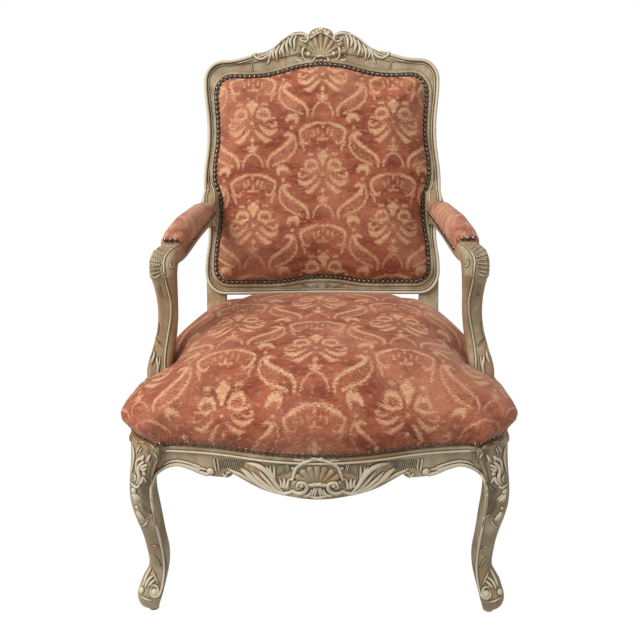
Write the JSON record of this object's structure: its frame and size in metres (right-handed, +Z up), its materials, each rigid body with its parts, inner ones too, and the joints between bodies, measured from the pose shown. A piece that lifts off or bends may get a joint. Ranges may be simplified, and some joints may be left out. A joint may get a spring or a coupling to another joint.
{
  "type": "upholstered armchair",
  "caption": "Open armchair with a carved, painted cabriole frame, flat leaning back, padded arms and a stuffed seat in damask velvet edged with dome-headed nails.",
  "frame": {"origin": "on the floor under the middle of the chair's box", "axes": "+Z up, -Y towards the front of the seat, +X to the viewer's right when facing the chair"},
  "size_m": [0.6888, 0.7687, 1.0626],
  "materials": {
    "painted_wood": "rubbed and worn paint",
    "plain_wood": "bare beech",
    "screw_steel": "plain",
    "nail_bronze": "darkened bronze",
    "damask_velvet": "cut velvet damask",
    "outside_back_velvet": "plain velvet",
    "curled_hair": "loose",
    "webbing": "woven",
    "hessian": "woven"
  },
  "bodies": {
    "root": {"front_leg_left": "painted_wood", "front_leg_right": "painted_wood", "back_post_left": "painted_wood", "back_post_right": "painted_wood", "front_seat_rail": "painted_wood", "side_seat_rail_left": "painted_wood", "side_seat_rail_right": "painted_wood", "back_seat_rail": "painted_wood", "crest_rail": "painted_wood", "lower_back_rail": "painted_wood", "arm_left": "painted_wood", "arm_right": "painted_wood", "arm_support_left": "painted_wood", "arm_support_right": "painted_wood", "corner_block_front_left": "plain_wood", "corner_block_front_right": "plain_wood", "corner_block_rear_left": "plain_wood", "corner_block_rear_right": "plain_wood", "arm_dowels": "plain_wood", "tenon_pegs": "plain_wood", "corner_block_screws": "screw_steel", "arm_support_screws": "screw_steel", "seat_nails": "nail_bronze", "back_nails": "nail_bronze", "outside_back_nails": "nail_bronze", "arm_pad_nails_left": "nail_bronze", "arm_pad_nails_right": "nail_bronze", "seat_cover": "damask_velvet", "back_cover": "damask_velvet", "arm_pad_cover_left": "damask_velvet", "arm_pad_cover_right": "damask_velvet", "outside_back_cover": "outside_back_velvet", "seat_stuffing": "curled_hair", "back_stuffing": "curled_hair", "arm_pad_stuffing_left": "curled_hair", "arm_pad_stuffing_right": "curled_hair", "seat_webbing_lengthwise": "webbing", "seat_webbing_crosswise": "webbing", "back_webbing": "webbing", "seat_hessian": "hessian", "back_hessian": "hessian"}
  },
  "joints": []
}
